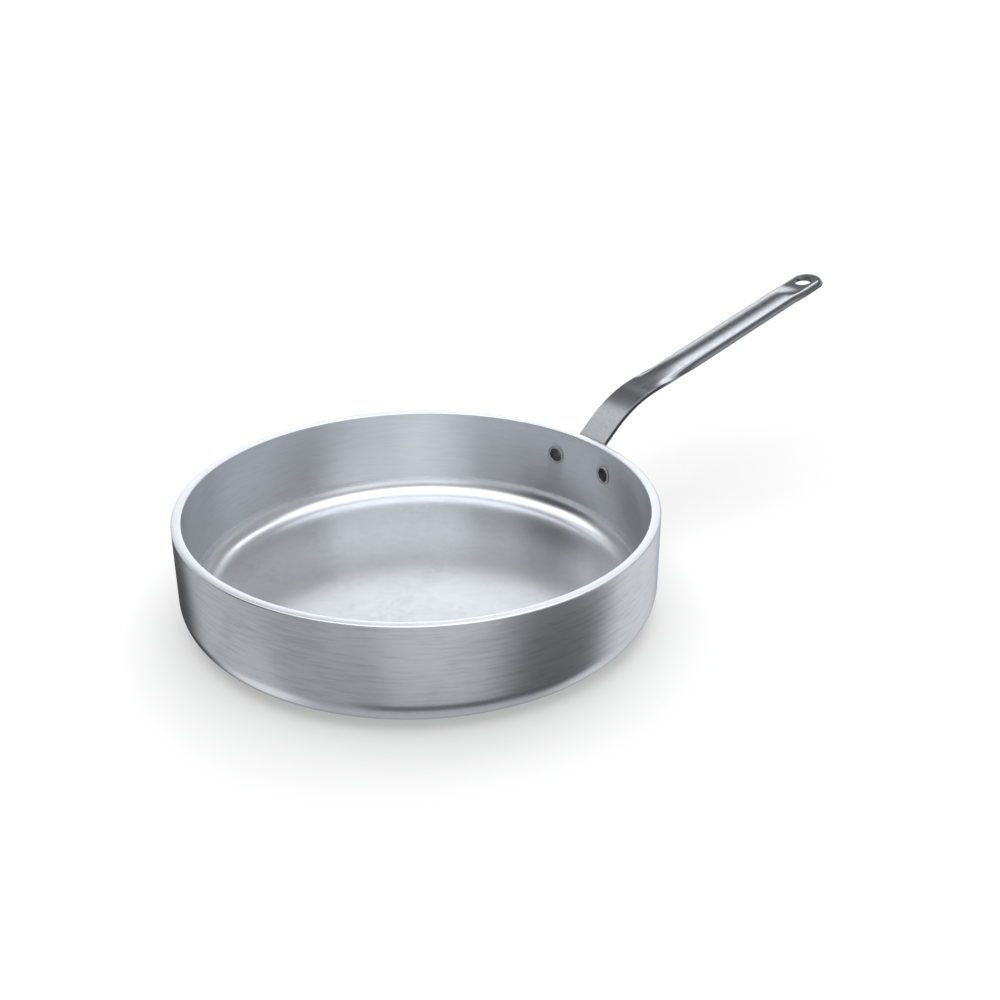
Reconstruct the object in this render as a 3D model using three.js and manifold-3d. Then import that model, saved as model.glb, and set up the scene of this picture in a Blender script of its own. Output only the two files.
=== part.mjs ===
// Saute pan: a thick aluminium body with a stamped steel handle, held by two tubular rivets.
// Millimetres, +Z up. The origin is the centre of the underside, and the handle runs along +X.
import * as THREE from 'three';
import { mergeVertices } from 'three/addons/utils/BufferGeometryUtils.js';
import Module from 'manifold-3d';

// Pan body: one thick disc pressed to a straight-sided vessel, then turned
const innerDiameter = 280;
const bodyHeight = 65.5;
const wallThickness = 6;
const baseThickness = 6;
const innerCornerRadius = 13;
const rimRounding = 0.8;

// Rivets: two side by side below the rim, with a domed head outside and a clinched collar inside.
// The collar and the head reach over the edge of the hole that the shank fills.
const rivetSpacing = 44.7;
const rivetDrop = 18;
const shankDiameter = 11.2;
const shankWall = 1;
const boreDepth = 8.5;
const collarReach = 0.4;
const collarHeight = 0.45;
const headReach = 2.6;
const headHeight = 3.6;

// Handle blank: one sheet with two lobes round the rivets, a neck, a grip and a round tip
const sheetThickness = 3;
const edgeChamfer = 0.5;
const lobeRadius = 10.5;
const shoulderSlope = THREE.MathUtils.degToRad(15);
const neckFillet = 4;
const neckWidth = 23;
const hangingHoleDiameter = 12;
const hangingHoleInset = 15.8;

// Handle profile: up the wall, out and away below the rim, then along a straight rising grip
const wallRunAboveRivets = 7.5;
const rootBendRadius = 11.5;
const neckAngle = THREE.MathUtils.degToRad(40);
const neckRun = 12.2;
const kneeRadius = 85;
const gripAngle = THREE.MathUtils.degToRad(12.25);
const handleReach = 390;

// Handle section: flat at the neck, then a channel with its edges folded down along the grip and
// round the tip. The channel's top is crowned, and flat again at the hanging hole.
const formRun = 50;
const crownWidth = 17.2;
const crownRadius = 45;
const crownLift = 1.5;
const foldRadius = 0.5;
const foldAngle = THREE.MathUtils.degToRad(65);
const lipLength = 2.3;
const flattenRun = 45;
const flatLandAtHole = 4;

// Space left between pieces that touch
const fitGap = 0.3;

// How far a cutter runs past the faces that it cuts
const cutOverrun = 5;

// Fineness of the round forms
const bodyFacets = 120;
const rivetFacets = 28;
const cornerSteps = 8;
const roundingSteps = 3;
const lobeSteps = 14;
const neckSteps = 2;
const bendSteps = 8;
const runSteps = 6;
const crownSteps = 4;
const foldSteps = 5;

const quarterTurn = Math.PI / 2;
const innerRadius = innerDiameter / 2;
const outerRadius = innerRadius + wallThickness;
const flangeRadius = outerRadius + fitGap;
const rivetHeight = bodyHeight - rivetDrop;
const rivetHoleDiameter = shankDiameter + 2 * fitGap;
const rivetAngle = Math.asin(rivetSpacing / 2 / innerRadius);

const wasm = await Module();
wasm.setup();

// Shared corners are merged, and triangles that shrank to a line are dropped
function closed(geometry) {
  geometry.deleteAttribute('normal');
  geometry.deleteAttribute('uv');
  const merged = mergeVertices(geometry);
  const corners = merged.index.array;
  const kept = [];
  for (let i = 0; i < corners.length; i += 3) {
    const [a, b, c] = corners.slice(i, i + 3);
    if (a !== b && b !== c && c !== a) {
      kept.push(a, b, c);
    }
  }
  merged.setIndex(kept);
  return merged;
}

function toSolid(geometry) {
  const vertProperties = new Float32Array(geometry.attributes.position.array);
  const triVerts = new Uint32Array(geometry.index.array);
  return new wasm.Manifold(new wasm.Mesh({ numProp: 3, vertProperties, triVerts }));
}

function cut(geometry, cutters) {
  let solid = toSolid(geometry);
  for (const cutter of cutters) {
    solid = solid.subtract(toSolid(cutter));
  }
  const mesh = solid.getMesh();
  const result = new THREE.BufferGeometry();
  result.setAttribute('position', new THREE.BufferAttribute(mesh.vertProperties, 3));
  result.setIndex(new THREE.BufferAttribute(mesh.triVerts, 1));
  return result;
}

// Numbers from one value to another in even steps, both ends included
function steps(from, to, count) {
  return Array.from({ length: count + 1 }, (_, i) => from + (to - from) * i / count);
}

// Points of a circle in a flat outline, from one angle to another
function arc(x, y, radius, from, to, count) {
  return steps(from, to, count).map(
    (angle) => new THREE.Vector2(x + radius * Math.cos(angle), y + radius * Math.sin(angle)),
  );
}

// A profile of radius and height, turned about the Z axis
function turned(profile, facets) {
  const geometry = new THREE.LatheGeometry(profile, facets);
  geometry.rotateX(quarterTurn);
  return closed(geometry);
}

// A round cutter with its middle at the origin, along Z
function roundCutter(diameter, length) {
  const geometry = new THREE.CylinderGeometry(diameter / 2, diameter / 2, length, rivetFacets);
  geometry.rotateX(quarterTurn);
  return geometry;
}

// Turns a piece made along Z to lie along the axis of the left (+1) or right (-1) rivet
function layAlongRivet(object, side) {
  object.rotation.set(0, quarterTurn, side * rivetAngle, 'ZYX');
  object.position.z = rivetHeight;
  object.updateMatrix();
}

// Holes for both rivets, from the pan's axis out through the wall and the flange
function rivetHoles() {
  const length = 2 * outerRadius;
  return [1, -1].map((side) => {
    const geometry = roundCutter(rivetHoleDiameter, length);
    geometry.translate(0, 0, length / 2);
    const place = new THREE.Object3D();
    layAlongRivet(place, side);
    return closed(geometry.applyMatrix4(place.matrix));
  });
}

// The wall keeps its thickness round the corner, so the outer corner is larger by one wall
function panBody() {
  const outerCorner = innerCornerRadius + wallThickness;
  const rimEdge = bodyHeight - rimRounding;
  const innerTurn = innerRadius - innerCornerRadius;
  const floorTurn = baseThickness + innerCornerRadius;
  const profile = [
    new THREE.Vector2(0, 0),
    ...arc(outerRadius - outerCorner, outerCorner, outerCorner, -quarterTurn, 0, cornerSteps),
    ...arc(outerRadius - rimRounding, rimEdge, rimRounding, 0, quarterTurn, roundingSteps),
    ...arc(innerRadius + rimRounding, rimEdge, rimRounding, quarterTurn, Math.PI, roundingSteps),
    ...arc(innerTurn, floorTurn, innerCornerRadius, 0, -quarterTurn, cornerSteps),
    new THREE.Vector2(0, baseThickness),
  ];
  return cut(turned(profile, bodyFacets), rivetHoles());
}

// Heights in this profile are distances from the pan's axis. The collar lies on the inner wall,
// and the domed head lies on the handle's flange.
function rivet() {
  const headRadius = rivetHoleDiameter / 2 + headReach;
  const collarRadius = rivetHoleDiameter / 2 + collarReach;
  const shankRadius = shankDiameter / 2;
  const boreRadius = shankRadius - shankWall;
  const collarSeat = Math.sqrt(innerRadius ** 2 - collarRadius ** 2) - fitGap;
  const boreEnd = collarSeat - collarHeight + boreDepth;
  const headSeat = flangeRadius + sheetThickness + fitGap;
  const domeRadius = (headRadius ** 2 + headHeight ** 2) / (2 * headHeight);
  const domeCentre = headSeat + headHeight - domeRadius;
  const domeEdge = Math.asin((headSeat - domeCentre) / domeRadius);
  const dome = arc(0, domeCentre, domeRadius, domeEdge, quarterTurn, cornerSteps);
  const mouth = arc(
    boreRadius + collarHeight, collarSeat, collarHeight, -Math.PI, -quarterTurn, roundingSteps,
  );
  const collar = arc(
    collarRadius - collarHeight, collarSeat, collarHeight, -quarterTurn, 0, roundingSteps,
  );
  const profile = [
    new THREE.Vector2(0, boreEnd),
    new THREE.Vector2(boreRadius, boreEnd),
    ...mouth,
    ...collar,
    new THREE.Vector2(shankRadius, collarSeat),
    new THREE.Vector2(shankRadius, headSeat),
    ...dome.slice(0, -1),
    new THREE.Vector2(0, headSeat + headHeight),
  ];
  return turned(profile, rivetFacets);
}

// The handle's middle line on its top face, as runs with a slope at each end. It starts at the
// flange's lower edge, against the wall, where the top face looks at the pan.
const rootBend = quarterTurn - neckAngle;
const kneeBend = neckAngle - gripAngle;
const profileRuns = [
  { length: lobeRadius + wallRunAboveRivets, from: quarterTurn, to: quarterTurn },
  { length: rootBendRadius * rootBend, from: quarterTurn, to: neckAngle },
  { length: neckRun, from: neckAngle, to: neckAngle },
  { length: kneeRadius * kneeBend, from: neckAngle, to: gripAngle },
  { length: Infinity, from: gripAngle, to: gripAngle },
];

// Place and slope at a distance along the middle line
function onProfile(distance) {
  let x = flangeRadius;
  let z = rivetHeight - lobeRadius;
  let slope = quarterTurn;
  let left = distance;
  for (const run of profileRuns) {
    const step = Math.min(left, run.length);
    if (run.from === run.to) {
      x += step * Math.cos(slope);
      z += step * Math.sin(slope);
    } else {
      const radius = run.length / (run.from - run.to);
      slope = run.from - step / radius;
      x += radius * (Math.sin(run.from) - Math.sin(slope));
      z += radius * (Math.cos(slope) - Math.cos(run.from));
    }
    left -= step;
    if (left <= 0) {
      break;
    }
  }
  return { x, z, slope };
}

// Distances along the middle line where the form changes
const bendStart = profileRuns[0].length;
const bendEnd = bendStart + profileRuns[1].length;
const kneeStart = bendEnd + neckRun;
const gripStart = kneeStart + profileRuns[3].length;
const formEnd = gripStart + formRun;

// Widths on the flat blank, from its middle line to the edge of the formed grip
const foldLength = (foldRadius + sheetThickness) * foldAngle;
const gripHalfBlank = crownWidth / 2 + foldLength + lipLength;

// The flat-topped section at the tip, which sets the tip's outline and its place
const tipFold = formed({ out: crownWidth / 2, down: 0, tilt: 0 }, foldLength, foldAngle);
const tipEdge = formed(tipFold, lipLength, 0);
const tipSpan = handleReach - tipEdge.down * Math.sin(gripAngle) - onProfile(gripStart).x;
const tipEnd = gripStart + tipSpan / Math.cos(gripAngle);
const tipCentre = tipEnd - tipEdge.out;
const holeCentre = tipEnd - hangingHoleInset;
const flattenEnd = holeCentre - hangingHoleDiameter / 2 - flatLandAtHole;
const flattenStart = flattenEnd - flattenRun;

// The folds grow after the knee and run on round the tip
function foldAt(distance) {
  return THREE.MathUtils.smoothstep(distance, gripStart, formEnd);
}

// The crown grows with the folds, and is gone again before the hanging hole
function crownAt(distance) {
  return foldAt(distance) * (1 - THREE.MathUtils.smoothstep(distance, flattenStart, flattenEnd));
}

// The flange hugs the wall, and the strip is straight across by the end of the root bend
function wallCurveAt(distance) {
  return (1 - THREE.MathUtils.smoothstep(distance, bendStart, bendEnd)) / flangeRadius;
}

function stripHalfWidth(distance) {
  return THREE.MathUtils.lerp(neckWidth / 2, gripHalfBlank, foldAt(distance));
}

// Stations along the blank: round the lobes, up the sloping shoulder, round the neck's fillet,
// along the strip, and round the tip, where the section swings about the tip's centre
function stations() {
  const neck = neckWidth / 2;
  const lobe = flangeRadius * rivetAngle;
  const lobeTop = quarterTurn - shoulderSlope;
  const lobeArc = arc(lobe, lobeRadius, lobeRadius, -quarterTurn, lobeTop, lobeSteps);
  const shoulder = lobeArc.at(-1);
  const crotch = shoulder.y + (shoulder.x - neck) * Math.tan(shoulderSlope);
  const filletEnd = crotch + neckFillet * Math.tan(lobeTop / 2);
  const fillet = arc(
    neck + neckFillet, filletEnd, neckFillet, Math.PI + lobeTop, Math.PI, roundingSteps,
  );
  const midShoulder = shoulder.clone().lerp(fillet[0], 0.5);
  const strip = [
    ...steps(Math.max(filletEnd, bendEnd), kneeStart, neckSteps).slice(1),
    ...steps(kneeStart, gripStart, bendSteps).slice(1),
    ...steps(gripStart, formEnd, runSteps).slice(1),
    ...steps(formEnd, flattenStart, runSteps).slice(1),
    ...steps(flattenStart, flattenEnd, runSteps).slice(1),
    tipCentre,
  ];
  return [
    ...[...lobeArc, midShoulder, ...fillet].map(
      (point) => ({ distance: point.y, halfWidth: point.x, swing: 0 }),
    ),
    ...strip.map((distance) => ({ distance, halfWidth: stripHalfWidth(distance), swing: 0 })),
    ...steps(0, quarterTurn, bendSteps).slice(1).map(
      (swing) => ({ distance: tipCentre, halfWidth: gripHalfBlank, swing }),
    ),
  ];
}

// One stretch of a section: how far it goes out and down while it turns
function formed(start, length, turn) {
  const chord = turn === 0 ? length : 2 * length * Math.sin(turn / 2) / turn;
  const mean = start.tilt + turn / 2;
  return {
    out: start.out + chord * Math.cos(mean),
    down: start.down + chord * Math.sin(mean),
    tilt: start.tilt + turn,
  };
}

// The crown, the fold and the lip of a section, which share its width as they share the grip's
function stretches(station) {
  const share = station.halfWidth / gripHalfBlank;
  const crown = share * crownWidth / 2;
  return [
    { length: crown, turn: crownAt(station.distance) * crown / crownRadius },
    { length: share * foldLength, turn: foldAt(station.distance) * foldAngle },
    { length: share * lipLength, turn: 0 },
  ];
}

// A point of the section, from its width on the flat blank and its depth below the top face
function onSection(station, width, depth) {
  let top = { out: 0, down: -crownLift * crownAt(station.distance), tilt: 0 };
  let left = Math.abs(width);
  for (const { length, turn } of stretches(station)) {
    const step = Math.min(left, length);
    top = formed(top, step, turn * step / length);
    left -= step;
  }
  const out = top.out - depth * Math.sin(top.tilt);
  const down = top.down + depth * Math.cos(top.tilt);
  return { out: Math.sign(width) * out, down };
}

// The same point in the pan's frame, wrapped round the wall on the flange and swung round the tip
function onHandle(station, width, depth) {
  const { x, z, slope } = onProfile(station.distance);
  const { out, down } = onSection(station, width, depth);
  const curve = wallCurveAt(station.distance);
  const radius = curve > 0 ? 1 / curve : 0;
  const across = curve > 0 ? (radius + down) * Math.sin(curve * out) : out;
  const rise = curve > 0 ? radius - (radius + down) * Math.cos(curve * out) : -down;
  const ahead = Math.abs(across) * Math.sin(station.swing);
  return [
    x + ahead * Math.cos(slope) - rise * Math.sin(slope),
    across * Math.cos(station.swing),
    z + ahead * Math.sin(slope) + rise * Math.cos(slope),
  ];
}

// Corners of one section, counter-clockwise seen from the tip, starting on the underside
function section(station) {
  const [crown, fold] = stretches(station);
  const half = [
    ...steps(0, crown.length, crownSteps),
    ...steps(crown.length, crown.length + fold.length, foldSteps).slice(1),
    station.halfWidth - edgeChamfer,
  ];
  const across = [...half.slice(1).reverse().map((width) => -width), ...half];
  const edgeDepths = [sheetThickness - edgeChamfer, edgeChamfer];
  return [
    ...across.map((width) => onHandle(station, width, sheetThickness)),
    ...edgeDepths.map((depth) => onHandle(station, station.halfWidth, depth)),
    ...across.toReversed().map((width) => onHandle(station, width, 0)),
    ...edgeDepths.toReversed().map((depth) => onHandle(station, -station.halfWidth, depth)),
  ];
}

// The blank's sections joined to one closed skin. The tip closes on itself, and the flange's
// lower edge is closed by pairing the underside's corners with the top face's.
function handleSkin() {
  const sections = stations().map(section);
  const count = sections[0].length;
  const triangles = [];
  for (let i = 0; i + 1 < sections.length; i += 1) {
    for (let j = 0; j < count; j += 1) {
      const a = i * count + j;
      const b = i * count + (j + 1) % count;
      triangles.push(a, b, b + count, a, b + count, a + count);
    }
  }
  const pairs = count / 2 - 2;
  for (let j = -1; j < pairs; j += 1) {
    const low = (j + count) % count;
    const high = count - 3 - j;
    triangles.push(low, high, j + 1, j + 1, high, high - 1);
  }
  const geometry = new THREE.BufferGeometry();
  geometry.setAttribute('position', new THREE.Float32BufferAttribute(sections.flat(2), 3));
  geometry.setIndex(triangles);
  return closed(geometry);
}

function hangingHole() {
  const { x, z, slope } = onProfile(holeCentre);
  const geometry = roundCutter(hangingHoleDiameter, 2 * (sheetThickness + cutOverrun));
  geometry.rotateY(-slope);
  geometry.translate(x, 0, z);
  return closed(geometry);
}

function handle() {
  return cut(handleSkin(), [...rivetHoles(), hangingHole()]);
}

function piece(name, geometry, look) {
  const mesh = new THREE.Mesh(geometry, new THREE.MeshStandardMaterial(look));
  mesh.name = name;
  return mesh;
}

const satinAluminium = { color: 0xb9bcc0, roughness: 0.36, metalness: 1 };
const polishedSteel = { color: 0x9fa0a3, roughness: 0.24, metalness: 1 };
const dullAluminium = { color: 0xa2a5a9, roughness: 0.45, metalness: 1 };

const pan = new THREE.Group();
pan.add(piece('pan_body', panBody(), satinAluminium));
pan.add(piece('handle', handle(), polishedSteel));
for (const [name, side] of [['rivet_left', 1], ['rivet_right', -1]]) {
  const mesh = piece(name, rivet(), dullAluminium);
  layAlongRivet(mesh, side);
  pan.add(mesh);
}

export default pan;
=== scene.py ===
# %% [markdown]
# # A saute pan of thick aluminium with a stamped steel handle
#
# The real pan is four pieces: one body, pressed from a thick aluminium disc and turned on a lathe,
# one handle, stamped from steel sheet, and two tubular rivets. This lesson dresses the construction
# model of the pan: it loads that model as a fixed frame, models a smooth version of each piece in its
# place, and gives every piece the finish of its metal. The frame is in metres, with its origin at the
# centre of the underside, Z up, and the handle along +X.

# %% Load the frame
import math

import bmesh
import bpy
from mathutils import Matrix, Vector


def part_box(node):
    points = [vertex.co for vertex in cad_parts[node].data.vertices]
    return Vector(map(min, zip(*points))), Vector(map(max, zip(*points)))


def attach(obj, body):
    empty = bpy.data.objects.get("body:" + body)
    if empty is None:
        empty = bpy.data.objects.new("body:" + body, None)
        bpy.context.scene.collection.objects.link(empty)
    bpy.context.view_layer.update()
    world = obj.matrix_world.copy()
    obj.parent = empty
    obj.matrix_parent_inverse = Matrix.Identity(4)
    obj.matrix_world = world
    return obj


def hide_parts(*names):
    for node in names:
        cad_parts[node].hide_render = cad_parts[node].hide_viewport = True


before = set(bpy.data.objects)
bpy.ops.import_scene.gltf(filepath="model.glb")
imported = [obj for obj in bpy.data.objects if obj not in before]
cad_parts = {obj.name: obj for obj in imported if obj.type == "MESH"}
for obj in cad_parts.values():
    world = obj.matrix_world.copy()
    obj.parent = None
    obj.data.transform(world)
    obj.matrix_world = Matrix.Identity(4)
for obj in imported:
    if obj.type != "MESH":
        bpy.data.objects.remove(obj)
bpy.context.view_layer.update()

MM = 0.001
for node_name in sorted(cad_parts):
    low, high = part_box(node_name)
    print(node_name, "measures", [round(x / MM, 1) for x in high - low], "mm")

# %% [markdown]
# ## The camera
#
# A camera comes first, because every later choice is judged through it. It stands in front and to the
# left of the pan, about 40 cm up, and looks down at the pan with the handle going away to the right.
# The lens is a little longer than normal, which keeps the rim's ellipse calm.

# %% Place the camera
CAMERA_PLACE = (-0.4414, -0.5641, 0.4126)
CAMERA_TILT = math.radians(64.12)
CAMERA_HEADING = math.radians(-42)
LENS_LENGTH = 47.38
SENSOR_WIDTH = 36

camera_data = bpy.data.cameras.new("camera")
camera_data.sensor_width = SENSOR_WIDTH
camera_data.lens = LENS_LENGTH
camera = bpy.data.objects.new("camera", camera_data)
camera.location = CAMERA_PLACE
camera.rotation_euler = (CAMERA_TILT, 0, CAMERA_HEADING)
bpy.context.scene.collection.objects.link(camera)
bpy.context.scene.camera = camera
print("camera", round(camera.location.length, 3), "m from the pan's origin, lens", camera_data.lens, "mm")

# %% [markdown]
# ## Working as by hand
#
# A modeller selects something and then uses a tool on it. These helpers do the same in code: one clears
# the selection, one names the new piece, one selects the faces or edges of the mesh in hand that pass a
# test on their place, and the others add a modifier and apply it, cut holes and shade the piece smooth.


# %% Small helpers for modelling
SHARP_ANGLE = math.radians(35)
MERGE_DISTANCE = 0.002 * MM
ROUND_STEPS = 64


def deselect_all():
    for selected in bpy.context.selected_objects:
        selected.select_set(False)


def name_piece(name):
    piece = bpy.context.object
    piece.name = name
    piece.data.name = name
    return piece


def select_where(piece, mode, test):
    """Selects, in edit mode, the faces by their middle and direction, or the edges by their ends."""
    bpy.ops.mesh.select_mode(type=mode)
    bpy.ops.mesh.select_all(action="DESELECT")
    mesh = bmesh.from_edit_mesh(piece.data)
    if mode == "FACE":
        chosen = [face for face in mesh.faces if test(face.calc_center_median(), face.normal)]
    else:
        chosen = [edge for edge in mesh.edges if all(test(corner.co) for corner in edge.verts)]
    for element in chosen:
        element.select_set(True)
    mesh.select_flush_mode()
    bmesh.update_edit_mesh(piece.data)
    return len(chosen)


def finish_with(piece, kind, **settings):
    """Adds a modifier to the piece and applies it."""
    bpy.context.view_layer.objects.active = piece
    bpy.ops.object.modifier_add(type=kind)
    modifier = piece.modifiers[-1]
    for name, value in settings.items():
        setattr(modifier, name, value)
    bpy.ops.object.modifier_apply(modifier=modifier.name)


def cut_with(piece, cutters):
    for cutter in cutters:
        finish_with(piece, "BOOLEAN", operation="DIFFERENCE", object=cutter, solver="EXACT")
        bpy.data.objects.remove(cutter)


def smooth(piece):
    """Shades the piece smooth, apart from its sharp edges."""
    deselect_all()
    piece.select_set(True)
    bpy.context.view_layer.objects.active = piece
    bpy.ops.object.shade_smooth_by_angle(angle=SHARP_ANGLE)
    print(piece.name, "has", len(piece.data.polygons), "faces")


# %% [markdown]
# ## The body
#
# On the lathe the body is a straight cup with a large radius between wall and floor, a larger one
# outside, and a flat rim with its edges just broken. The same steps make it here: a cylinder of the
# body's outer size, a flat rim left by an inset, the inside pushed down to the floor, and then the
# corners rounded with bevels, which give true arcs on square edges.

# %% Shape the cup
WALL = 6 * MM
BASE = 6 * MM
INNER_CORNER = 13 * MM
RIM_ROUNDING = 0.8 * MM
SUPPORT_RING = 2 * MM
FACETS = 288
TOUCH = 0.1 * MM

body_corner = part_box("pan_body")[1]
OUTER_RADIUS = body_corner.x
INNER_RADIUS = OUTER_RADIUS - WALL
HEIGHT = body_corner.z

deselect_all()
bpy.ops.mesh.primitive_cylinder_add(
    vertices=FACETS, radius=OUTER_RADIUS, depth=HEIGHT, location=(0, 0, HEIGHT / 2))
body = name_piece("turned_body")
bpy.ops.object.transform_apply(location=True)
bpy.ops.object.mode_set(mode="EDIT")
select_where(body, "FACE", lambda middle, normal: normal.z > 0.9)
bpy.ops.mesh.inset(thickness=WALL)
bpy.ops.mesh.extrude_region_move(TRANSFORM_OT_translate={"value": (0, 0, BASE - HEIGHT)})


def on_circle(radius, height):
    return lambda point: (abs(point.xy.length - radius) < TOUCH and abs(point.z - height) < TOUCH)


for radius, height, rounding, segments in [
    (INNER_RADIUS, BASE, INNER_CORNER, 14),
    (OUTER_RADIUS, 0, INNER_CORNER + WALL, 18),
    (INNER_RADIUS, HEIGHT, RIM_ROUNDING, 4),
    (OUTER_RADIUS, HEIGHT, RIM_ROUNDING, 4),
]:
    count = select_where(body, "EDGE", on_circle(radius, height))
    bpy.ops.mesh.bevel(offset=rounding, segments=segments, profile=0.5, affect="EDGES")
    print("rounded", count, "edges to", round(rounding / MM, 1), "mm")

# A narrow ring inside the flat discs keeps their shading flat right up to the corner's radius
for height in (BASE, 0):
    select_where(body, "FACE", lambda middle, normal: (
        middle.xy.length < TOUCH and abs(middle.z - height) < TOUCH))
    bpy.ops.mesh.inset(thickness=SUPPORT_RING)
bpy.ops.object.mode_set(mode="OBJECT")

# %% [markdown]
# ## The rivets and their holes
#
# Each rivet is a tube closed at its outer end by a domed head. Its open end is clinched to a thin collar
# inside the pan, so from inside it shows as a dark round recess. A turned piece is a profile that is
# spun, so the profile is drawn point by point, with arcs for the collar and the dome, and spun round.
# The second rivet is a copy of the first, and the same axis places the holes in wall and flange.

# %% Place of the rivets
RIVET_SPACING = 44.7 * MM
RIVET_DROP = 18 * MM
SHANK_RADIUS = 5.6 * MM
SHANK_WALL = 1 * MM
FIT_GAP = 0.3 * MM
BORE_DEPTH = 8.5 * MM
COLLAR_REACH = 0.4 * MM
COLLAR_HEIGHT = 0.45 * MM
HEAD_REACH = 2.6 * MM
HEAD_HEIGHT = 3.6 * MM
SHEET = 3 * MM

HOLE_RADIUS = SHANK_RADIUS + FIT_GAP
RIVET_HEIGHT = HEIGHT - RIVET_DROP
RIVET_ANGLE = math.asin(RIVET_SPACING / 2 / INNER_RADIUS)
FLANGE_RADIUS = OUTER_RADIUS + FIT_GAP


def lay_along_rivet(piece, side):
    """Turns a piece made along Z to lie on the axis of the left (1) or right (-1) rivet."""
    turn = Matrix.Rotation(side * RIVET_ANGLE, 4, "Z") @ Matrix.Rotation(math.pi / 2, 4, "Y")
    piece.data.transform(Matrix.Translation((0, 0, RIVET_HEIGHT)) @ turn)


def rivet_cutter(side):
    deselect_all()
    bpy.ops.mesh.primitive_cylinder_add(vertices=ROUND_STEPS, radius=HOLE_RADIUS, depth=OUTER_RADIUS)
    cutter = name_piece("rivet_cutter")
    cutter.data.transform(Matrix.Translation((0, 0, OUTER_RADIUS)))
    lay_along_rivet(cutter, side)
    return cutter


cut_with(body, [rivet_cutter(1), rivet_cutter(-1)])
smooth(body)

# %% Spin the rivets


def arc(across, along, radius, start, end, steps):
    """Points of an arc in a profile, as distances across and along the axis. Angles are in degrees."""
    angles = [math.radians(start + (end - start) * step / steps) for step in range(steps + 1)]
    return [(across + radius * math.cos(a), along + radius * math.sin(a)) for a in angles]


def spin_profile(name, points):
    """Draws a profile of (distance from the axis, distance along it) and spins it round Z."""
    deselect_all()
    bpy.ops.mesh.primitive_plane_add(size=1)
    piece = name_piece(name)
    bpy.ops.object.mode_set(mode="EDIT")
    bpy.ops.mesh.select_mode(type="VERT")
    bpy.ops.mesh.merge(type="CENTER")
    here = Vector((0, 0, 0))
    for number, (across, along) in enumerate(points):
        step = Vector((across, 0, along)) - here
        if number == 0:
            bpy.ops.transform.translate(value=step)
        else:
            bpy.ops.mesh.extrude_region_move(TRANSFORM_OT_translate={"value": step})
        here = Vector((across, 0, along))
    bpy.ops.mesh.select_all(action="SELECT")
    bpy.ops.mesh.spin(steps=ROUND_STEPS, angle=2 * math.pi, center=(0, 0, 0), axis=(0, 0, 1))
    bpy.ops.mesh.select_all(action="SELECT")
    bpy.ops.mesh.remove_doubles(threshold=MERGE_DISTANCE)
    bpy.ops.mesh.normals_make_consistent(inside=False)
    bpy.ops.object.mode_set(mode="OBJECT")
    return piece


bore_radius = SHANK_RADIUS - SHANK_WALL
collar_radius = HOLE_RADIUS + COLLAR_REACH
head_radius = HOLE_RADIUS + HEAD_REACH
collar_seat = math.sqrt(INNER_RADIUS ** 2 - collar_radius ** 2) - FIT_GAP
head_seat = FLANGE_RADIUS + SHEET + FIT_GAP
bore_end = collar_seat - COLLAR_HEIGHT + BORE_DEPTH
dome_radius = (head_radius ** 2 + HEAD_HEIGHT ** 2) / (2 * HEAD_HEIGHT)
dome_centre = head_seat + HEAD_HEIGHT - dome_radius
dome_start = math.degrees(math.asin((head_seat - dome_centre) / dome_radius))
rivet_left = spin_profile("rivet_left_tube", [
    (0, bore_end),
    (bore_radius, bore_end),
    *arc(bore_radius + COLLAR_HEIGHT, collar_seat, COLLAR_HEIGHT, -180, -90, 6),
    *arc(collar_radius - COLLAR_HEIGHT, collar_seat, COLLAR_HEIGHT, -90, 0, 6),
    (SHANK_RADIUS, collar_seat),
    (SHANK_RADIUS, head_seat),
    *arc(0, dome_centre, dome_radius, dome_start, 90, 12),
])
rivet_right = rivet_left.copy()
rivet_right.data = rivet_left.data.copy()
rivet_right.name = "rivet_right_tube"
bpy.context.scene.collection.objects.link(rivet_right)
for rivet, side in ((rivet_left, 1), (rivet_right, -1)):
    lay_along_rivet(rivet, side)
    smooth(rivet)

# %% [markdown]
# ## The handle
#
# The handle starts as a flat blank: two lobes round the rivets, a narrow neck and a long strip with a
# round tip. The press wraps the lobes to the wall, bends the neck out and up, and folds the edges of the
# grip down to a stiff channel with a slightly crowned top. A bend tool needs a window, so here a grid
# stands for the blank, and each row of it is put where the press would put it. Solidify then gives the
# sheet its thickness, and a bevel breaks its edges.

# %% Sizes of the blank and of its bends
LOBE_RADIUS = 10.5 * MM
SHOULDER_SLOPE = math.radians(15)
NECK_FILLET = 4 * MM
NECK_WIDTH = 23 * MM
WALL_RUN_ABOVE_RIVETS = 7.5 * MM
ROOT_BEND_RADIUS = 11.5 * MM
NECK_ANGLE = math.radians(40)
NECK_RUN = 12.2 * MM
KNEE_RADIUS = 85 * MM
GRIP_ANGLE = math.radians(12.25)
HANDLE_REACH = 390 * MM
FORM_RUN = 50 * MM
CROWN_WIDTH = 17.2 * MM
CROWN_RADIUS = 45 * MM
CROWN_LIFT = 1.5 * MM
FOLD_RADIUS = 3.5 * MM
FOLD_ANGLE = math.radians(65)
LIP_LENGTH = 2.3 * MM
FLATTEN_RUN = 18 * MM
FLAT_LAND_AT_HOLE = 4 * MM
HANGING_HOLE_RADIUS = 6 * MM
HANGING_HOLE_INSET = 15.8 * MM
EDGE_ROUNDING = 0.6 * MM
EDGE_ANGLE = math.radians(50)
QUARTER_TURN = math.pi / 2

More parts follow.
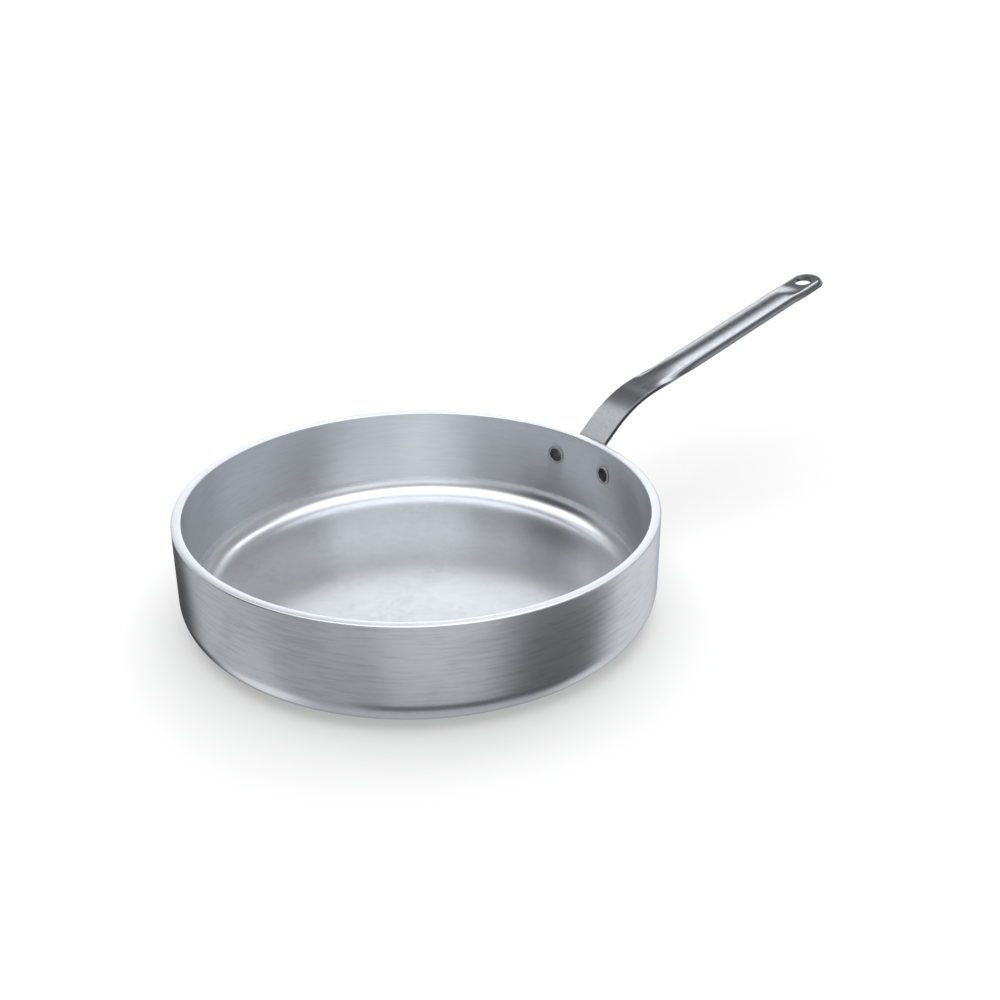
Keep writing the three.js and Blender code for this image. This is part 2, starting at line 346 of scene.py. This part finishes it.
BEND_START = LOBE_RADIUS + WALL_RUN_ABOVE_RIVETS
BEND_END = BEND_START + ROOT_BEND_RADIUS * (QUARTER_TURN - NECK_ANGLE)
KNEE_START = BEND_END + NECK_RUN
GRIP_START = KNEE_START + KNEE_RADIUS * (NECK_ANGLE - GRIP_ANGLE)
FORM_END = GRIP_START + FORM_RUN
FOLD_LENGTH = FOLD_RADIUS * FOLD_ANGLE
GRIP_HALF_BLANK = CROWN_WIDTH / 2 + FOLD_LENGTH + LIP_LENGTH


def on_profile(distance):
    """Place and slope on the handle's middle line, from the flange's lower edge to the tip."""
    place = Vector((FLANGE_RADIUS, 0, RIVET_HEIGHT - LOBE_RADIUS))
    slope = QUARTER_TURN
    for length, end_slope in [
        (BEND_START, QUARTER_TURN),
        (BEND_END - BEND_START, NECK_ANGLE),
        (NECK_RUN, NECK_ANGLE),
        (GRIP_START - KNEE_START, GRIP_ANGLE),
        (math.inf, GRIP_ANGLE),
    ]:
        step = min(distance, length)
        turn = (end_slope - slope) * step / length if slope != end_slope else 0
        place = place + stretch(step, slope, turn)
        slope += turn
        distance -= step
    return place, slope


def stretch(length, slope, turn):
    """How far a stretch goes along X and Z while its slope turns evenly."""
    chord = length if turn == 0 else 2 * length * math.sin(turn / 2) / turn
    mean = slope + turn / 2
    return Vector((chord * math.cos(mean), 0, chord * math.sin(mean)))


# %% Form a section of the handle
tip_fold = stretch(FOLD_LENGTH, 0, FOLD_ANGLE) + stretch(LIP_LENGTH, FOLD_ANGLE, 0)
TIP_RADIUS = CROWN_WIDTH / 2 + tip_fold.x
grip_origin = on_profile(GRIP_START)[0]
tip_span = HANDLE_REACH - tip_fold.z * math.sin(GRIP_ANGLE) - grip_origin.x
TIP_END = GRIP_START + tip_span / math.cos(GRIP_ANGLE)
TIP_CENTRE = TIP_END - TIP_RADIUS
HOLE_CENTRE = TIP_END - HANGING_HOLE_INSET
FLATTEN_END = HOLE_CENTRE - HANGING_HOLE_RADIUS - FLAT_LAND_AT_HOLE
FLATTEN_START = FLATTEN_END - FLATTEN_RUN
print("the handle's middle line is", round(TIP_END / MM, 1), "mm long, its hole at",
      round(HOLE_CENTRE / MM, 1), "mm")


def ease(value, start, end):
    """0 before start, 1 after end, and a smooth rise between."""
    share = min(max((value - start) / (end - start), 0), 1)
    return share * share * (3 - 2 * share)


def fold_at(distance):
    return ease(distance, GRIP_START, FORM_END)


def crown_at(distance):
    return fold_at(distance) * (1 - ease(distance, FLATTEN_START, FLATTEN_END))


def on_section(distance, half_width, width):
    """How far out and down a point of the top face lies, from its width on the flat blank."""
    share = half_width / GRIP_HALF_BLANK
    crown = share * CROWN_WIDTH / 2
    point = Vector((0, 0, -CROWN_LIFT * crown_at(distance)))
    tilt = 0
    left = abs(width)
    for length, turn in [
        (crown, crown_at(distance) * crown / CROWN_RADIUS),
        (share * FOLD_LENGTH, fold_at(distance) * FOLD_ANGLE),
        (share * LIP_LENGTH, 0),
    ]:
        step = min(left, length)
        point = point + stretch(step, tilt, turn * step / length)
        tilt += turn * step / length
        left -= step
    return math.copysign(point.x, width), point.z


def on_handle(distance, half_width, swing, width):
    """A point of the formed handle, wrapped round the wall on the flange and swung round the tip."""
    place, slope = on_profile(distance)
    out, down = on_section(distance, half_width, width)
    curve = (1 - ease(distance, BEND_START, BEND_END)) / FLANGE_RADIUS
    across = math.sin(curve * out) * (1 / curve + down) if curve > 0 else out
    rise = 1 / curve - (1 / curve + down) * math.cos(curve * out) if curve > 0 else -down
    ahead = abs(across) * math.sin(swing)
    return Vector((
        place.x + ahead * math.cos(slope) - rise * math.sin(slope),
        across * math.cos(swing),
        place.z + ahead * math.sin(slope) + rise * math.cos(slope),
    ))


# %% Rows of the blank, from the lobes to the tip
def evenly(start, end, count):
    return [start + (end - start) * step / count for step in range(1, count + 1)]


lobe_centre = FLANGE_RADIUS * RIVET_ANGLE
lobe_top = 90 - math.degrees(SHOULDER_SLOPE)
lobe = arc(lobe_centre, LOBE_RADIUS, LOBE_RADIUS, -90, lobe_top, 28)
shoulder_out, shoulder_up = lobe[-1]
crotch = shoulder_up + (shoulder_out - NECK_WIDTH / 2) * math.tan(SHOULDER_SLOPE)
fillet_end = crotch + NECK_FILLET * math.tan(math.radians(lobe_top / 2))
fillet = arc(NECK_WIDTH / 2 + NECK_FILLET, fillet_end, NECK_FILLET, 180 + lobe_top, 180, 8)
fillet_out, fillet_up = fillet[0]
shoulder = [
    (shoulder_out + (fillet_out - shoulder_out) * share, shoulder_up + (fillet_up - shoulder_up) * share)
    for share in (0.25, 0.5, 0.75)
]
strip = (evenly(max(fillet_end, BEND_END), KNEE_START, 6) + evenly(KNEE_START, GRIP_START, 20)
         + evenly(GRIP_START, FORM_END, 18) + evenly(FORM_END, FLATTEN_START, 14)
         + evenly(FLATTEN_START, FLATTEN_END, 14) + evenly(FLATTEN_END, TIP_CENTRE, 6))
rows = [(along, across, 0) for across, along in lobe + shoulder + fillet]
rows += [
    (distance, NECK_WIDTH / 2 + (GRIP_HALF_BLANK - NECK_WIDTH / 2) * fold_at(distance), 0)
    for distance in strip
]
rows += [(TIP_CENTRE, GRIP_HALF_BLANK, swing) for swing in evenly(0, QUARTER_TURN, 20)]
print("the blank has", len(rows), "rows")

# %% Press the blank to shape
COLUMNS = 44

deselect_all()
bpy.ops.mesh.primitive_grid_add(x_subdivisions=len(rows) - 1, y_subdivisions=COLUMNS, size=2)
handle = name_piece("stamped_handle")
for corner in handle.data.vertices:
    distance, half_width, swing = rows[round((corner.co.x + 1) / 2 * (len(rows) - 1))]
    corner.co = on_handle(distance, half_width, swing, corner.co.y * half_width)
bpy.ops.object.mode_set(mode="EDIT")
bpy.ops.mesh.select_all(action="SELECT")
bpy.ops.mesh.remove_doubles(threshold=MERGE_DISTANCE)
bpy.ops.mesh.normals_make_consistent(inside=False)
if sum(face.normal.z for face in bmesh.from_edit_mesh(handle.data).faces) < 0:
    bpy.ops.mesh.flip_normals()
bpy.ops.object.mode_set(mode="OBJECT")
finish_with(handle, "SOLIDIFY", thickness=SHEET, offset=-1, use_even_offset=True)
finish_with(handle, "BEVEL", width=EDGE_ROUNDING, segments=3, limit_method="ANGLE",
            angle_limit=EDGE_ANGLE)

# %% Drill the handle
CHAMFER = 0.5 * MM

hole_place, hole_slope = on_profile(HOLE_CENTRE)
reach = SHEET
hole_cutter = spin_profile("hanging_hole_cutter", [
    (0, -SHEET - reach),
    (HANGING_HOLE_RADIUS + CHAMFER + reach, -SHEET - reach),
    (HANGING_HOLE_RADIUS, -SHEET + CHAMFER),
    (HANGING_HOLE_RADIUS, -CHAMFER),
    (HANGING_HOLE_RADIUS + CHAMFER + reach, reach),
    (0, reach),
])
hole_cutter.data.transform(
    Matrix.Translation(hole_place) @ Matrix.Rotation(-hole_slope, 4, "Y"))
cut_with(handle, [rivet_cutter(1), rivet_cutter(-1), hole_cutter])
smooth(handle)

# %% [markdown]
# ## Finishes
#
# Every finish here is bare metal, so its look comes from what it mirrors, how blurred the mirror is, and
# the fine marks that the tool left. Colours are written as sRGB hex values, and one function turns them
# to the linear values that shaders use. One more adds a node, sets it and links it.


# %% Helpers for materials
def linear(hex_colour):
    """An sRGB hex colour as linear red, green, blue and alpha."""
    shares = [int(hex_colour[start:start + 2], 16) / 255 for start in (1, 3, 5)]
    return (*[s / 12.92 if s <= 0.04045 else ((s + 0.055) / 1.055) ** 2.4 for s in shares], 1)


def add_node(tree, kind, inputs=None, **settings):
    """Adds a node with its settings. An input is a value, or another node's socket to link."""
    node = tree.nodes.new(kind)
    for name, value in settings.items():
        setattr(node, name, value)
    for name, value in (inputs or {}).items():
        if isinstance(value, bpy.types.NodeSocket):
            tree.links.new(value, node.inputs[name])
        else:
            node.inputs[name].default_value = value
    return node


def new_material(name):
    material = bpy.data.materials.new(name)
    material.use_nodes = True
    material.node_tree.nodes.clear()
    return material, material.node_tree


# %% [markdown]
# ### Satin aluminium
#
# The body is soft aluminium. Its walls keep the marks of the lathe: short fine streaks that lie level all
# round, plain outside and faint inside. They blur mirrored light across themselves, which the shader calls
# anisotropy, and so the walls show upright bands. The floor was sanded after that, and shows a mottle with
# no direction, which is fainter on the smoother corners and on the duller rim. Such marks could be cut as
# real grooves, but they are far too fine, so a noise draws them: flattened for the streaks, even for the
# mottle. A coarser noise gathers the marks in slow clouds.

# %% Marks of the lathe and of sanding
# Real lathe lines are about 0.2 mm wide. They are drawn coarser here, so that they show at this distance.
STREAK_LENGTH = 20 * MM
STREAK_WIDTH = 1.6 * MM
MOTTLE_SIZE = 5 * MM
CLOUD_SIZE = 34 * MM
CLOUD_SHARE = 0.35
CLEAN_TONE = 0.54
STAINED_TONE = 0.34
MARK_DEPTH = 0.02 * MM
LEVEL_GRAIN = 0.25

# Each kind of mark: its size along X, Y and Z, and the noise's detail, roughness and distortion
LEVEL_STREAKS = ((STREAK_LENGTH, STREAK_LENGTH, STREAK_WIDTH), 3, 0.6, 0)
SANDED_MOTTLE = ((MOTTLE_SIZE, MOTTLE_SIZE, MOTTLE_SIZE), 4, 0.65, 1.2)


# %% Aluminium finishes
def satin_aluminium(name, bare, stained, kind_of_mark, rough, anisotropy, depth):
    """Bare aluminium with sparse marks, which are stained a little darker and cut to a small depth."""
    material, tree = new_material(name)
    mark_size, detail, harshness, swirl = kind_of_mark
    place = add_node(tree, "ShaderNodeTexCoord").outputs["Object"]
    sized = add_node(tree, "ShaderNodeMapping", {
        "Vector": place, "Scale": [1 / length for length in mark_size]})
    marks = add_node(tree, "ShaderNodeTexNoise", {
        "Vector": sized.outputs[0], "Scale": 1,
        "Detail": detail, "Roughness": harshness, "Distortion": swirl}).outputs["Fac"]
    clouds = add_node(tree, "ShaderNodeTexNoise", {
        "Vector": place, "Scale": 1 / CLOUD_SIZE, "Detail": 4, "Roughness": 0.55})
    tone = add_node(tree, "ShaderNodeMix", {"Factor": CLOUD_SHARE, 2: marks, 3: clouds.outputs["Fac"]})
    marked = add_node(tree, "ShaderNodeMapRange", {
        "Value": tone.outputs[0], "From Min": CLEAN_TONE, "From Max": STAINED_TONE})
    colour = add_node(tree, "ShaderNodeMix", {
        "Factor": marked.outputs["Result"], 6: linear(bare), 7: linear(stained)}, data_type="RGBA")
    bump = add_node(tree, "ShaderNodeBump", {"Strength": depth, "Distance": MARK_DEPTH, "Height": marks})
    turning = add_node(tree, "ShaderNodeTangent", direction_type="RADIAL", axis="Z")
    shader = add_node(tree, "ShaderNodeBsdfPrincipled", {
        "Base Color": colour.outputs[2], "Metallic": 1, "Roughness": rough,
        "Anisotropic": anisotropy, "Anisotropic Rotation": LEVEL_GRAIN,
        "Normal": bump.outputs["Normal"], "Tangent": turning.outputs[0]})
    add_node(tree, "ShaderNodeOutputMaterial", {"Surface": shader.outputs[0]})
    return material


# %% [markdown]
# ### Stamped steel and drawn aluminium
#
# The handle's steel sheet is darker than the body and smoother, with a faint lengthwise grain from
# rolling. The rivets are drawn from aluminium wire and left as they come, duller than the body.

# %% Handle steel and rivet aluminium
# The real grain is finer than a tenth of a millimetre, and is drawn coarser for the same reason.
GRAIN_LENGTH = 30 * MM
GRAIN_WIDTH = 0.8 * MM
GRAIN_DEPTH = 0.01 * MM
GRAIN_STRENGTH = 0.1
GRAIN_LOW = 0.35
GRAIN_HIGH = 0.65
ROUGHNESS_SPREAD = 0.04


def brushed_metal(name, dark, light, rough, grain):
    """A metal with a grain of the given scale, from a darker, rougher tone to a lighter one."""
    material, tree = new_material(name)
    place = add_node(tree, "ShaderNodeTexCoord").outputs["Object"]
    stretched = add_node(tree, "ShaderNodeMapping", {"Vector": place, "Scale": grain})
    lines = add_node(tree, "ShaderNodeTexNoise", {
        "Vector": stretched.outputs[0], "Scale": 1, "Detail": 3, "Roughness": 0.6})
    colour = add_node(tree, "ShaderNodeValToRGB", {"Fac": lines.outputs["Fac"]})
    colour.color_ramp.elements[0].position = GRAIN_LOW
    colour.color_ramp.elements[0].color = linear(dark)
    colour.color_ramp.elements[1].position = GRAIN_HIGH
    colour.color_ramp.elements[1].color = linear(light)
    roughness = add_node(tree, "ShaderNodeMapRange", {
        "Value": lines.outputs["Fac"], "From Min": GRAIN_LOW, "From Max": GRAIN_HIGH,
        "To Min": rough + ROUGHNESS_SPREAD, "To Max": rough - ROUGHNESS_SPREAD})
    marks = add_node(tree, "ShaderNodeBump", {
        "Strength": GRAIN_STRENGTH, "Distance": GRAIN_DEPTH, "Height": lines.outputs["Fac"]})
    shader = add_node(tree, "ShaderNodeBsdfPrincipled", {
        "Base Color": colour.outputs["Color"], "Metallic": 1, "Roughness": roughness.outputs["Result"],
        "Normal": marks.outputs["Normal"]})
    add_node(tree, "ShaderNodeOutputMaterial", {"Surface": shader.outputs[0]})
    return material


# %% The metals of this pan
# Turned on a lathe: the streaks show, and mirrored light smears into upright bands
turned = satin_aluminium(
    "turned_wall_aluminium", "#e6e7ea", "#d2d3d6", LEVEL_STREAKS, 0.28, 0.6, 0.1)
# Turned and then rubbed: the same bands, with the streaks nearly gone
rubbed = satin_aluminium(
    "rubbed_inner_wall_aluminium", "#e2e3e6", "#dbdcdf", LEVEL_STREAKS, 0.28, 0.6, 0.03)
# Sanded: a soft mirror, mottled, with no direction
sanded = satin_aluminium(
    "sanded_floor_aluminium", "#e5e6e9", "#d8d9dc", SANDED_MOTTLE, 0.26, 0, 0.22)
# Smoothed: a clean soft mirror, which gathers the ceiling in one white band
smoothed = satin_aluminium(
    "smoothed_corner_aluminium", "#e5e6e9", "#e0e1e4", SANDED_MOTTLE, 0.27, 0, 0.04)
# Faced flat: duller and greyer than the walls
faced = satin_aluminium(
    "faced_rim_aluminium", "#d4d5d8", "#cecfd2", SANDED_MOTTLE, 0.33, 0, 0.03)
# Rolled steel: a darker and sharper mirror, with a faint lengthwise grain
steel = brushed_metal("rolled_handle_steel", "#818284", "#87888a", 0.18,
                      (1 / GRAIN_LENGTH, 1 / GRAIN_WIDTH, 1 / GRAIN_WIDTH))
# Drawn wire, left as it came: dull, with a fine even grain
wire = brushed_metal("drawn_rivet_aluminium", "#b2b4b7", "#bcbec1", 0.4,
                     (1 / GRAIN_WIDTH, 1 / GRAIN_WIDTH, 1 / GRAIN_WIDTH))
for metal in (turned, rubbed, sanded, smoothed, faced, steel, wire):
    print(metal.name, "has", len(metal.node_tree.nodes), "nodes")

# %% [markdown]
# ### Each piece gets its metal
#
# The body carries its five finishes. The faces at the top are the rim, the level ones are the floor and
# the base, the upright ones are a wall, outer or inner by the way they face, and those between are the
# corners. Every piece is tied to the frame, takes the place of its solid and gets its metals.

# %% Give out the finishes
UPRIGHT = 0.1
LEVEL = 0.999

body_finishes = (turned, rubbed, sanded, faced, smoothed)
for piece, node_name, slot, finishes in (
    (body, "pan_body", "body_aluminium", body_finishes),
    (handle, "handle", "handle_steel", (steel,)),
    (rivet_left, "rivet_left", "rivet_aluminium", (wire,)),
    (rivet_right, "rivet_right", "rivet_aluminium", (wire,)),
):
    piece.data.materials.clear()
    for finish in finishes:
        piece.data.materials.append(finish)
    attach(piece, "root")
    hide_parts(node_name)
    print(piece.name, "stands for", node_name, "in", ", ".join(finish.name for finish in finishes))


def finish_of(face):
    """The finish of a face of the body, by its height and the way it faces."""
    if face.center.z > HEIGHT - RIM_ROUNDING:
        return faced
    if abs(face.normal.z) > LEVEL:
        return sanded
    if abs(face.normal.z) > UPRIGHT:
        return smoothed
    return turned if face.normal.dot(face.center) > 0 else rubbed


for face in body.data.polygons:
    face.material_index = body_finishes.index(finish_of(face))

# %% [markdown]
# ## The studio
#
# Bare metal shows the room, so the room is set up like a product studio: a bright ceiling, a strip light
# and a pale wall on the far side, pale boards to the sides and behind the camera, and dark flags and gaps
# between them that draw the edges. Lamps could do it, but each would need its own shape and place. So all
# of it is painted in the world by direction, one soft panel over another, in a slightly cool light.
# The floor is a white light table: it glows a little, which keeps the soft shadow thin. The metal doesn't
# mirror the table, so boards below the horizon stand in for it there.

# %% Floor
FLOOR_SIZE = 60
FLOOR_GLOW = 0.26
FLOOR_COLOUR = "#d8d5d1"

deselect_all()
bpy.ops.mesh.primitive_plane_add(size=FLOOR_SIZE)
floor = name_piece("studio_floor")
floor_material, floor_tree = new_material("white_studio_floor")
floor_shader = add_node(floor_tree, "ShaderNodeBsdfPrincipled", {
    "Base Color": linear(FLOOR_COLOUR), "Roughness": 1, "Specular IOR Level": 0,
    "Emission Color": linear("#ffffff"), "Emission Strength": FLOOR_GLOW})
add_node(floor_tree, "ShaderNodeOutputMaterial", {"Surface": floor_shader.outputs[0]})
floor.data.materials.append(floor_material)
floor.visible_glossy = False
print("the floor is", FLOOR_SIZE, "m wide")

# %% Panels round the pan
# Each panel: its middle's azimuth and half its width, its lowest and highest elevation, the width of
# its soft edge, all in degrees, and its light. Azimuth 0 is along the handle, 90 to the handle's left.
STUDIO = {
    "table_below": (0, 180, -100, -65, 12, 0.5),
    "horizon": (0, 180, -15, 20, 12, 0.65),
    "ceiling": (0, 180, 55, 100, 15, 2.2),
    "far_ceiling": (30, 22, 43, 60, 10, 3.9),
    "left_ceiling": (110, 20, 42, 60, 10, 2.2),
    "far_wall": (50, 45, 5, 25, 10, 0.9),
    "far_strip_light": (52, 16, 18, 28, 8, 2.9),
    "far_gap": (45, 30, 31, 42, 12, 0.2),
    "left_board": (105, 28, -15, 15, 12, 1.1),
    "left_gap": (150, 18, -10, 45, 10, 0.05),
    "right_upper_board": (310, 25, 15, 45, 15, 0.45),
    "board_behind_camera": (243, 35, 14, 38, 12, 1.1),
    "gap_behind_camera": (235, 45, 44, 58, 10, 0.5),
    "low_board_behind_camera": (237, 12, -40, -15, 20, 0.65),
    "right_flag": (299, 20, -60, -10, 16, 0.1),
    "right_low_board": (355, 20, -60, -15, 15, 0.75),
    "right_board": (335, 25, -15, 10, 12, 1.0),
    "front_flag": (240, 40, -66, -44, 10, 0.1),
    "left_low_board": (130, 25, -40, -15, 15, 0.55),
    "left_corner_board": (120, 30, -62, -42, 10, 0.9),
    "left_flag": (80, 18, -45, -18, 12, 0),
}
LOW_LIGHT = 0.37
HIGH_LIGHT = 0.35
HORIZON_BLEND = 20
LIGHT_COLOUR = "#f7fbff"

world = bpy.data.worlds.new("studio")
bpy.context.scene.world = world
world.use_nodes = True
sky = world.node_tree
sky.nodes.clear()
direction = add_node(sky, "ShaderNodeTexCoord").outputs["Generated"]
level = add_node(sky, "ShaderNodeVectorMath", {0: direction, 1: (1, 1, 0)}, operation="MULTIPLY")
compass = add_node(sky, "ShaderNodeVectorMath", {0: level.outputs[0]}, operation="NORMALIZE").outputs[0]
upward = add_node(sky, "ShaderNodeSeparateXYZ", {"Vector": direction}).outputs["Z"]
arc_up = add_node(sky, "ShaderNodeMath", {0: upward}, operation="ARCSINE").outputs[0]
elevation = add_node(sky, "ShaderNodeMath", {0: arc_up}, operation="DEGREES").outputs[0]


def paint_panel(light_below, azimuth, half_width, lowest, highest, edge, light):
    """Paints one soft panel over what is there, and gives the new light."""
    borders = [(elevation, lowest - edge / 2, lowest + edge / 2, 0, 1),
               (elevation, highest - edge / 2, highest + edge / 2, 1, 0)]
    if half_width < 180:
        heading = (math.cos(math.radians(azimuth)), math.sin(math.radians(azimuth)), 0)
        facing = add_node(sky, "ShaderNodeVectorMath", {0: compass, 1: heading}, operation="DOT_PRODUCT")
        outside = math.cos(math.radians(min(half_width + edge, 180)))
        inside = math.cos(math.radians(max(half_width - edge / 2, 0)))
        borders.append((facing.outputs["Value"], outside, inside, 0, 1))
    cover = 1
    for place, low, high, first, last in borders:
        step = add_node(sky, "ShaderNodeMapRange", {
            "Value": place, "From Min": low, "From Max": high, "To Min": first, "To Max": last,
        }, interpolation_type="SMOOTHSTEP")
        cover = add_node(sky, "ShaderNodeMath", {
            0: cover, 1: step.outputs["Result"]}, operation="MULTIPLY").outputs[0]
    return add_node(sky, "ShaderNodeMix", {"Factor": cover, 2: light_below, 3: light}).outputs[0]


light = add_node(sky, "ShaderNodeMapRange", {
    "Value": elevation, "From Min": -HORIZON_BLEND, "From Max": HORIZON_BLEND,
    "To Min": LOW_LIGHT, "To Max": HIGH_LIGHT,
}, interpolation_type="SMOOTHSTEP").outputs["Result"]
for panel in STUDIO.values():
    light = paint_panel(light, *panel)
background = add_node(sky, "ShaderNodeBackground", {"Color": linear(LIGHT_COLOUR), "Strength": light})
add_node(sky, "ShaderNodeOutputWorld", {"Surface": background.outputs[0]})
bpy.context.scene.view_settings.view_transform = "Standard"
print("the studio has", len(STUDIO), "panels")
